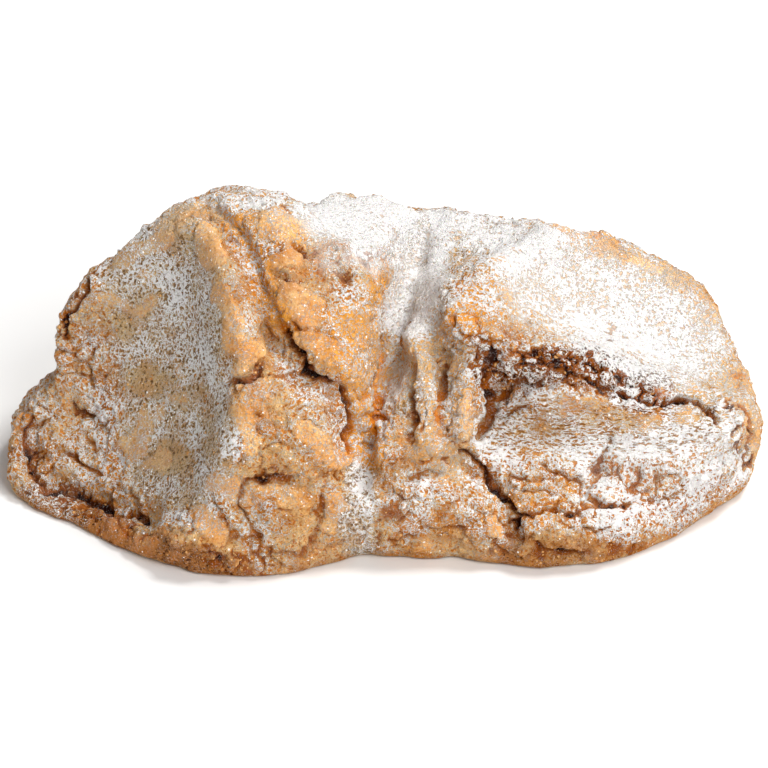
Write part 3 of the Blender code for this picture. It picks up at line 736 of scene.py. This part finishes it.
@dataclass(frozen=True)
class CrustFinish:
    """Baked almond crust: tan plates, orange edges, brown cracks with painted shade in them, pale dough and
    icing sugar.
    """

    tan: Colour = colour_of(214, 148, 78)
    light: Colour = colour_of(240, 196, 134)
    pale: Colour = colour_of(250, 212, 160)
    freckle: Colour = colour_of(190, 112, 44)
    orange: Colour = colour_of(251, 174, 70)
    brown: Colour = colour_of(182, 118, 60)
    speck: Colour = colour_of(194, 108, 28)
    bright_speck: Colour = colour_of(234, 142, 30)
    pale_orange: Colour = colour_of(242, 188, 122)
    pale_speck: Colour = colour_of(114, 80, 42)
    # crack and bright_crack are a crack's brown and orange inside, darkened as painted shade; deep, near
    # black, is painted shade at the bottom of pits.
    crack: Colour = colour_of(160, 82, 16)
    bright_crack: Colour = colour_of(222, 124, 16)
    deep: Colour = colour_of(54, 18, 5)
    cream: Colour = colour_of(206, 180, 140)
    veil: Colour = colour_of(245, 236, 229)
    sugar: Colour = colour_of(250, 248, 247)

    def material(self) -> bpy.types.Material:
        """Builds the crust's material."""
        make = Shader("crust")
        place = make.place()
        ragged = make.warped(place, 1.3, 0.22)
        gate = make.cloud(place, 0.9, 4.0, 0.65)
        grain = make.cloud(place, 3.6, 3.0, 0.65)
        grit = make.cloud(place, 6.0, 2.0, 0.6)
        fine = make.cloud(place, 1.1, 4.0, 0.6)
        smooth = (make.attribute("smooth") + (gate - 0.5) * 0.7 + (grain - 0.5) * 0.3).step(0.25, 0.85)
        rough = 1.0 - smooth * 0.8

        # Fine wandering ridges of crust, on which the sugar stays, and hollows between them.
        # They are drawn out sideways where a finger slid along.
        even = make.cloud(ragged, 2.3, 4.0, 0.62)
        slid = make.cloud(make.drawn_out(ragged, 0.5, 1.7), 2.1, 4.0, 0.65)
        even = even + (slid - even) * make.attribute("streak")
        hollow = (even - 0.5).math("ABSOLUTE") * 2.0

        orange = make.attribute("orange") + (fine - 0.5) * 0.5
        brown = make.attribute("brown") + (fine - 0.5) * 0.5
        colour = self.baked(make, smooth, orange, brown)
        colour = make.mix(grain.step(0.55, 0.90) * smooth * 0.75, colour, self.freckle)
        colour = make.mix(gate.step(0.40, 0.90) * smooth * 0.45, colour, self.freckle)
        specks = hollow.step(0.22, 0.64) * rough * (1.0 - orange.step(0.4, 1.0) * 0.5)
        specks = specks * (grain + 0.2).step(0.10, 0.70)
        colour = make.mix(specks, colour, self.speck_colour(make, orange, brown))
        # Painted shade in the pits, cracks, crumb gaps and along plate edges.
        colour = self.painted_pit_shade(make, colour, orange)
        colour = make.mix(make.attribute("film") * (0.75 + grain * 0.5), colour, self.veil)

        whole = 1.0 - make.attribute("pit").step(0.15, 0.5)
        cover = make.attribute("sugar") * (1.0 - smooth * 0.45) * whole + (grit - 0.5) * 0.10
        torn = gate.step(0.34 - cover * 1.1, 0.66 - cover * 1.1)
        line = cover * 0.27 + cover * cover * 0.48
        soft = make.attribute("pale") * 0.09 + 0.065
        dusted = (1.0 - hollow.step(line - soft, line + soft)) * torn
        fleck = grit.step(0.68, 0.88) * (cover * 0.6 + 0.30)
        colour = make.mix(dusted.most(fleck) * 0.96, colour, self.sugar)

        make.bump(dusted * 0.08 - hollow * 0.18 * rough + grain * 0.06 + grit * 0.02 + fine * 0.08 * rough)
        return make.dressed(
            {
                "Base Color": colour,
                "Roughness": 0.80 - smooth * 0.15 + dusted * 0.15,
                "Specular IOR Level": 0.04,
                "Subsurface Weight": 0.05,
                "Subsurface Radius": (1.0, 0.55, 0.25),
                "Subsurface Scale": 0.6 * MM,
            }
        )

    def baked(self, make: Shader, smooth: Value, orange: Value, brown: Value) -> bpy.types.NodeSocket:
        """The crust's own colour: tan, with pale dough and orange and brown places."""
        mottle = make.cloud(make.place(), 0.45)
        colour = make.mix(mottle.step(0.2, 0.8), self.tan, self.light)
        colour = make.mix(smooth * 0.1, colour, self.light)
        colour = make.mix(make.attribute("cream") * 0.9, colour, self.cream)
        colour = make.mix(make.attribute("pale") * 0.8, colour, self.pale)
        colour = make.mix(orange.step(0.25, 0.95) * 0.88, colour, self.orange)
        return make.mix(brown.step(0.15, 0.85), colour, self.brown)

    def speck_colour(self, make: Shader, orange: Value, brown: Value) -> bpy.types.NodeSocket:
        """The colour of the hollows in the crust, which is darker and redder than the crust around them, and
        near black in browned crust as painted shade.
        """
        colour = make.mix(orange.step(0.2, 0.8), self.speck, self.bright_speck)
        colour = make.mix(make.attribute("cream") * 2.2, colour, self.pale_speck)
        colour = make.mix(make.attribute("pale"), colour, self.pale_orange)
        return make.mix(brown.step(0.3, 1.0), colour, self.deep)

    def painted_pit_shade(self, make: Shader, colour: bpy.types.NodeSocket, orange: Value) -> bpy.types.NodeSocket:
        """The colour with the pits in it, painted darker with their depth as shade: near black in the
        deepest, and a brighter orange where the crust is orange.
        """
        pit = make.attribute("pit")
        orange_share = orange.step(0.25, 0.8)
        shallow = make.mix(orange_share, self.crack, self.bright_crack)
        colour = make.mix(pit.step(0.15, 0.55) * 0.9, colour, shallow)
        return make.mix(pit.step(0.55, 0.98), colour, make.mix(orange_share * 0.75, self.deep, self.crack))


@dataclass(frozen=True)
class GrainFinish:
    """Loose grains: icing sugar, or crumbs of crust."""

    name: str
    pale: Colour
    dark: Colour

    def material(self) -> bpy.types.Material:
        """Builds the grains' material."""
        make = Shader(self.name)
        place = make.place()
        tone = make.cloud(place, 1.4)
        grit = make.cloud(place, 7.0)
        make.bump(grit * 0.02)
        colour = make.mix(tone.step(0.2, 0.8), self.pale, self.dark)
        return make.dressed({"Base Color": colour, "Roughness": 0.8 + grit * 0.15, "Specular IOR Level": 0.1})


@dataclass
class Crust:
    """The whole cookie: a fine copy of its body with the crust's relief and qualities."""

    voxel: float = 0.37
    settle: int = 4
    press_levels: tuple[float, float] = (0.3, 0.6)
    press_passes: int = 13
    smooth_from: float = 0.5
    reach_out: float = 0.25
    base: float = 0.01
    curl: float = 0.14
    plate_rise: float = 0.06
    edge_depth: float = 0.18
    scale_size: float = 2.6
    scale_depth: float = 0.30
    crumb_size: float = 1.15
    crumb_rise: float = 0.26
    rugged_rise: float = 0.40
    gap_depth: float = 0.28
    crease_wave: float = 1.2
    crease_depth: float = 0.20
    plate_size: float = 2.3
    loose_from: tuple[float, float] = (0.86, 0.72)
    finish: CrustFinish = field(default_factory=CrustFinish)

    def build(self) -> bpy.types.Object:
        """Makes the crust and dresses it."""
        piece = self.fine_copy()
        mesh = piece.data
        self.smooth_pressed(mesh)
        self.refine_cracks(mesh)
        points, normals = shape_of(mesh)
        canvas = Canvas(points, normals)
        pressed = np.clip(canvas.weights(PRESSED + CALM).max(axis=0), 0, 1)
        smooth, outline = self.plates(canvas)
        sunk, curl = self.cracks(mesh)
        rise, shallow = self.crumbs(canvas, smooth, pressed)
        above = smooth_step(0.15, 1.2, points[:, 2])
        rise *= 1 - smooth_step(0.05, 0.5, sunk)
        rise += canvas.weights(SWELLS).sum(axis=0) - self.edge_depth * outline
        moved = points + normals * ((rise + self.curl * curl - sunk) * above)[:, None]
        self.store(mesh, "smooth", smooth * (1 - smooth_step(0.05, 0.3, sunk)))
        # The pit amount paints shade into the crust's colour in cracks, scale lines, creases, crumb gaps and
        # along plate edges; grooves open to the light get none.
        golden = 1 - canvas.weights(OPEN).max(axis=0)
        self.store(mesh, "pit", np.clip((sunk + shallow + 0.42 * outline) * golden, 0, 1))
        for seed, (name, zone) in enumerate(ZONES.items()):
            self.store(mesh, name, zone.amount(canvas, 30.0 + 2 * seed))
        mesh.vertices.foreach_set("co", (self.within(moved) * MM).ravel())
        self.simplify_base(mesh)
        mesh.shade_smooth()
        mesh.materials.clear()
        mesh.materials.append(self.finish.material())
        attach(piece, BODY)
        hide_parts(NODE)
        report(piece)
        return piece

    def fine_copy(self) -> bpy.types.Object:
        """A copy of the cookie's body as an even, finely divided mesh in millimetres."""
        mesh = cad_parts[NODE].data.copy()
        bm = bmesh.new()
        bm.from_mesh(mesh)
        bmesh.ops.remove_doubles(bm, verts=bm.verts, dist=1e-7)
        bmesh.ops.scale(bm, vec=(1 / MM,) * 3, verts=bm.verts)
        bm.to_mesh(mesh)
        bm.free()
        mesh.name = "crust"
        piece = placed("crust", mesh)
        remesh = piece.modifiers.new("remesh", "REMESH")
        remesh.mode = "VOXEL"
        remesh.voxel_size = self.voxel
        settle = piece.modifiers.new("settle", "SMOOTH")
        settle.iterations = self.settle
        graph = bpy.context.evaluated_depsgraph_get()
        fine = bpy.data.meshes.new_from_object(piece.evaluated_get(graph))
        piece.modifiers.clear()
        piece.data = fine
        bpy.data.meshes.remove(mesh)
        return piece

    def smooth_pressed(self, mesh: bpy.types.Mesh) -> None:
        """Smooths the dough where fingertips pressed it."""
        pressed = Canvas(*shape_of(mesh)).weights(PRESSED).max(axis=0)
        every_way = {"use_axis_x": True, "use_axis_y": True, "use_axis_z": True}
        bm = bmesh.new()
        bm.from_mesh(mesh)
        bm.verts.ensure_lookup_table()
        for level in self.press_levels:
            chosen = [bm.verts[index] for index in np.nonzero(pressed > level)[0]]
            for _ in range(self.press_passes):
                bmesh.ops.smooth_vert(bm, verts=chosen, factor=0.6, **every_way)
        bm.to_mesh(mesh)
        bm.free()

    def refine_cracks(self, mesh: bpy.types.Mesh) -> None:
        """Divides the mesh once more along the cracks and on the rough front, where its relief is crisp."""
        sunk, curl = self.cracks(mesh)
        points, normals = shape_of(mesh)
        canvas = Canvas(points, normals)
        bare = canvas.weights(PRESSED).max(axis=0) < self.smooth_from
        rough_front = (canvas.belongs[Side.FRONT] > 0.9) & bare & (points[:, 2] > 0.5)
        near = (sunk > 0.02) | (curl > 0.35) | rough_front
        bm = bmesh.new()
        bm.from_mesh(mesh)
        edges = [edge for edge in bm.edges if near[edge.verts[0].index] and near[edge.verts[1].index]]
        bmesh.ops.subdivide_edges(bm, edges=edges, cuts=1, use_grid_fill=True)
        bmesh.ops.triangulate(bm, faces=[face for face in bm.faces if len(face.verts) > 4])
        bm.to_mesh(mesh)
        bm.free()

    def simplify_base(self, mesh: bpy.types.Mesh) -> None:
        """Leaves only large faces on the flat base, which needs no more."""
        bm = bmesh.new()
        bm.from_mesh(mesh)
        flat = [vert for vert in bm.verts if vert.co.z < self.base * MM]
        edges = {edge for vert in flat for edge in vert.link_edges}
        level = [edge for edge in edges if all(vert.co.z < self.base * MM for vert in edge.verts)]
        bmesh.ops.dissolve_limit(bm, angle_limit=math.radians(1), verts=flat, edges=level)
        bmesh.ops.triangulate(bm, faces=[face for face in bm.faces if len(face.verts) > 4])
        bm.to_mesh(mesh)
        bm.free()

    def plates(self, canvas: Canvas) -> tuple[np.ndarray, np.ndarray]:
        """The crust that baked smooth: the drawn plates, and loose ones, more of them where none is drawn.

        Args:
            canvas: the points.

        Returns:
            How smooth each point is, and how much it is a drawn plate's edge.
        """
        drawn_plates = canvas.weights(PLATES).max(axis=0)
        to_crack, number = cells(PLATE_WANDER.moved(canvas.points), self.plate_size, seed=4.0)
        front, back = self.loose_from
        kept = number > back + (front - back) * canvas.belongs[Side.FRONT]
        loose = kept * smooth_step(0.15, 0.55, to_crack)
        broken = smooth_step(-0.1, 0.3, waves(canvas.points, 1.5, seed=13.0))
        outline = (1 - smooth_step(0.0, 0.22, np.abs(drawn_plates - 0.45))) * broken
        return np.clip(0.85 * smooth_step(0.3, 0.9, drawn_plates) + 0.7 * loose, 0, 1), outline

    def cracks(self, mesh: bpy.types.Mesh) -> tuple[np.ndarray, np.ndarray]:
        """How deep the cracks are sunk at each of the mesh's points, and how much their edges curl up."""
        points, normals = shape_of(mesh)
        corners = [tuple(face.vertices) for face in mesh.polygons]
        tree = BVHTree.FromPolygons([Vector(point) for point in points], corners)
        dough = points / FIT_SCALE + FIT_MIDDLE
        ragged = CRACK_WANDER.moved(dough)
        sunk, curl = np.zeros(len(dough)), np.zeros(len(dough))
        for side in Side:
            plane = DrawingPlane(side)
            belongs = plane.belonging(points, normals, tree)
            drawn = plane.draw(ragged)
            for crack in CRACKS:
                if crack.side is side:
                    depth, edge = crack.profile(drawn)
                    sunk = np.maximum(sunk, depth * belongs)
                    curl = np.maximum(curl, edge * belongs)
        return sunk, curl

    def crumbs(
        self, canvas: Canvas, smooth: np.ndarray, pressed: np.ndarray
    ) -> tuple[np.ndarray, np.ndarray]:
        """The crust's own relief.

        Args:
            canvas: the points.
            smooth: how smooth each is.
            pressed: how much a fingertip smoothed it.

        Returns:
            How far each point rises, and how much of a pit it is.
        """
        dough = canvas.points
        rugged = np.clip(canvas.weights(RUGGED).max(axis=0), 0, 1)
        rough = (1 - 0.8 * smooth) * (1 - 0.8 * pressed)
        scale_crack, _ = cells(SCALE_WANDER.moved(dough), self.scale_size, seed=1.0)
        patchy = smooth_step(-0.25, 0.35, waves(dough, 4.0, seed=6.0))
        scales = smooth_step(0.20, 0.0, scale_crack) * patchy * (1 - pressed) * (1 - 0.7 * smooth)
        crumb_crack, number = cells(CRUMB_WANDER.moved(dough), self.crumb_size, seed=2.0)
        crumbs = smooth_step(0.0, 0.2, crumb_crack) * (number - 0.35)
        creases = 1 - smooth_step(0.0, 0.2, np.abs(waves(dough, self.crease_wave, seed=11.0)))
        broken = smooth_step(-0.25, 0.15, waves(dough, 1.6, seed=12.0))
        gaps = smooth_step(0.13, 0.02, crumb_crack) * smooth_step(0.2, 0.8, rugged) * broken

        rise = 0.14 * waves(dough, 1.7, seed=8.0) * (0.3 + 0.7 * rough) * (1 - 0.7 * pressed)
        rise += 0.18 * waves(dough, 0.75, seed=9.0) * rough
        rise += 0.09 * waves(dough, 0.4, seed=10.0) * rough
        rise += (self.crumb_rise * crumbs - self.crease_depth * creases) * rough
        rise += self.plate_rise * smooth - self.scale_depth * scales
        rise += (self.rugged_rise * crumbs - self.gap_depth * gaps) * rugged
        return rise, 0.40 * scales + 0.16 * creases * rough + 0.95 * gaps

    def within(self, points: np.ndarray) -> np.ndarray:
        """The points kept close to the cookie's own box and above what it rests on."""
        low, high = (np.array(corner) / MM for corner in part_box(NODE))
        return np.clip(points, low - (self.reach_out, self.reach_out, 0), high + self.reach_out)

    def store(self, mesh: bpy.types.Mesh, name: str, values: np.ndarray) -> None:
        """Keeps a number for each point in the mesh, for the finish to read."""
        layer = mesh.attributes.new(name, "FLOAT", "POINT")
        layer.data.foreach_set("value", values.astype(np.float32))


@dataclass
class Grains:
    """Loose grains that cling to the crust: small flattened lumps of real size."""

    name: str
    finish: GrainFinish
    count: int
    smallest: float
    largest: float
    seed: int
    sunk: float = 0.25
    flat: float = 0.7

    def weights(self, crust: bpy.types.Mesh) -> np.ndarray:
        """How likely a grain lies on each face of the crust."""
        area = np.array([face.area for face in crust.polygons])
        corners = [face.vertices[0] for face in crust.polygons]
        sugar, film, pit, brown = (stored(crust, name)[corners] for name in ("sugar", "film", "pit", "brown"))
        rest = stored(crust, "smooth")[corners]
        height = np.array([face.center.z for face in crust.polygons])
        if self.name == "sugar":
            wanted = (0.16 + sugar) * (1 - smooth_step(0.1, 0.5, pit))
        else:
            bare = np.clip(1 - sugar - film, 0, 1)
            wanted = bare**3 * (0.4 + (1 - rest) + smooth_step(0.1, 0.4, pit) + 0.5 * brown)
        return area * wanted * smooth_step(0.2 * MM, 1.0 * MM, height)

    def build(self, crust: bpy.types.Object) -> bpy.types.Object:
        """Strews the grains over the crust as one piece."""
        draw = np.random.default_rng(self.seed)
        faces = crust.data.polygons
        weights = self.weights(crust.data)
        chosen = draw.choice(len(faces), self.count, p=weights / weights.sum())
        lump = bpy.data.meshes.new("lump")
        bm = bmesh.new()
        bmesh.ops.create_icosphere(bm, subdivisions=1, radius=1.0)
        bm.to_mesh(lump)
        bm.free()
        bm = bmesh.new()
        for index, share in zip(chosen.tolist(), draw.random(self.count) ** 2):
            face = faces[index]
            size = (self.smallest + (self.largest - self.smallest) * share) * MM
            sizes = Vector(draw.uniform(0.7, 1.3, 3).tolist()) * size
            sizes.z *= self.flat
            spin = Matrix.Rotation(draw.uniform(0, math.tau), 4, "Z")
            turn = face.normal.to_track_quat("Z", "Y").to_matrix().to_4x4() @ spin
            lies = Matrix.Translation(face.center - face.normal * size * self.sunk)
            place = lies @ turn @ Matrix.Diagonal((*sizes, 1))
            lump.transform(place)
            bm.from_mesh(lump)
            lump.transform(place.inverted())
        mesh = bpy.data.meshes.new(self.name)
        bm.to_mesh(mesh)
        bm.free()
        bpy.data.meshes.remove(lump)
        mesh.shade_smooth()
        mesh.materials.append(self.finish.material())
        piece = placed(self.name, mesh)
        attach(piece, BODY)
        report(piece)
        return piece


def stored(mesh: bpy.types.Mesh, name: str) -> np.ndarray:
    """The numbers that the mesh keeps for its points under the name."""
    values = np.empty(len(mesh.vertices), np.float32)
    mesh.attributes[name].data.foreach_get("value", values)
    return values


def placed(name: str, data: bpy.types.ID) -> bpy.types.Object:
    """A new object in the scene."""
    obj = bpy.data.objects.new(name, data)
    bpy.context.scene.collection.objects.link(obj)
    return obj


def report(piece: bpy.types.Object) -> None:
    """Logs a finished piece and how many triangles it has."""
    LOG.info("%s: %d triangles", piece.name, sum(len(face.vertices) - 2 for face in piece.data.polygons))


def shape_of(mesh: bpy.types.Mesh) -> tuple[np.ndarray, np.ndarray]:
    """The mesh's points and the way each faces, as rows of x, y and z."""
    points, normals = np.empty(len(mesh.vertices) * 3), np.empty(len(mesh.vertices) * 3)
    mesh.vertices.foreach_get("co", points)
    mesh.vertex_normals.foreach_get("vector", normals)
    return points.reshape(-1, 3), normals.reshape(-1, 3)


@dataclass(frozen=True)
class FloorFinish:
    """A plain white floor."""

    white: Colour = (0.90, 0.90, 0.90, 1.0)

    def material(self) -> bpy.types.Material:
        """Builds the floor's material."""
        return Shader("floor").dressed({"Base Color": self.white, "Roughness": 0.9})


@dataclass
class Studio:
    """The floor, the lights and the camera."""

    elevation: float = math.radians(32)
    distance: float = 0.9
    frame_width: float = 0.06295
    aim: float = 0.00702
    floor_size: float = 1.2

    def camera(self) -> None:
        """Looks at the cookie from the front, slightly from above."""
        back = Vector((0, -math.cos(self.elevation), math.sin(self.elevation)))
        up = Vector((0, math.sin(self.elevation), math.cos(self.elevation)))
        data = bpy.data.cameras.new("camera")
        data.sensor_width = 36
        data.lens = 36 * self.distance / self.frame_width
        data.clip_start = 0.01
        obj = placed("camera", data)
        obj.location = up * self.aim + back * self.distance
        obj.rotation_euler = back.to_track_quat("Z", "Y").to_euler()
        bpy.context.scene.camera = obj

    def floor(self) -> None:
        """Lays a large plain floor at the height that the cookie stands on."""
        bm = bmesh.new()
        bmesh.ops.create_grid(bm, x_segments=1, y_segments=1, size=self.floor_size)
        mesh = bpy.data.meshes.new("floor")
        bm.to_mesh(mesh)
        bm.free()
        mesh.materials.append(FloorFinish().material())
        obj = placed("floor", mesh)

    def light(
        self, name: str, place: tuple[float, float, float], size: float, watts: float, tint: Colour
    ) -> None:
        """Hangs a square soft light at the place, turned to the cookie."""
        data = bpy.data.lights.new(name, "AREA")
        data.size = size
        data.energy = watts
        data.color = tint[:3]
        obj = placed(name, data)
        obj.location = place
        obj.rotation_euler = Vector(place).to_track_quat("Z", "Y").to_euler()

    def build(self) -> None:
        """Sets up the floor, the lights and the white surroundings."""
        self.floor()
        self.light("key", (0.26, 0.09, 0.58), 0.22, 3.0, (1.0, 0.995, 0.98, 1))
        self.light("fill", (0.34, -0.54, 0.53), 0.45, 4.8, (1.0, 0.995, 0.985, 1))
        world = bpy.data.worlds.new("studio")
        bpy.context.scene.world = world
        world.use_nodes = True
        background = world.node_tree.nodes["Background"]
        background.inputs["Color"].default_value = (1.0, 0.99, 0.98, 1.0)
        background.inputs["Strength"].default_value = 0.34
        bpy.context.scene.view_settings.view_transform = "Standard"


def main() -> None:
    """Builds the studio, the cookie's crust and its sugar and crumbs."""
    logging.basicConfig(level=logging.INFO)
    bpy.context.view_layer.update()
    studio = Studio()
    studio.camera()
    studio.build()
    crust = Crust().build()
    white, shaded = colour_of(250, 248, 246), colour_of(240, 234, 224)
    Grains("sugar", GrainFinish("sugar", white, shaded), 6500, 0.045, 0.12, seed=7).build(crust)
    tan, brown = colour_of(226, 176, 116), colour_of(176, 112, 56)
    Grains("crumbs", GrainFinish("crumbs", tan, brown), 2400, 0.06, 0.17, seed=8).build(crust)


if __name__ == "__main__":
    main()
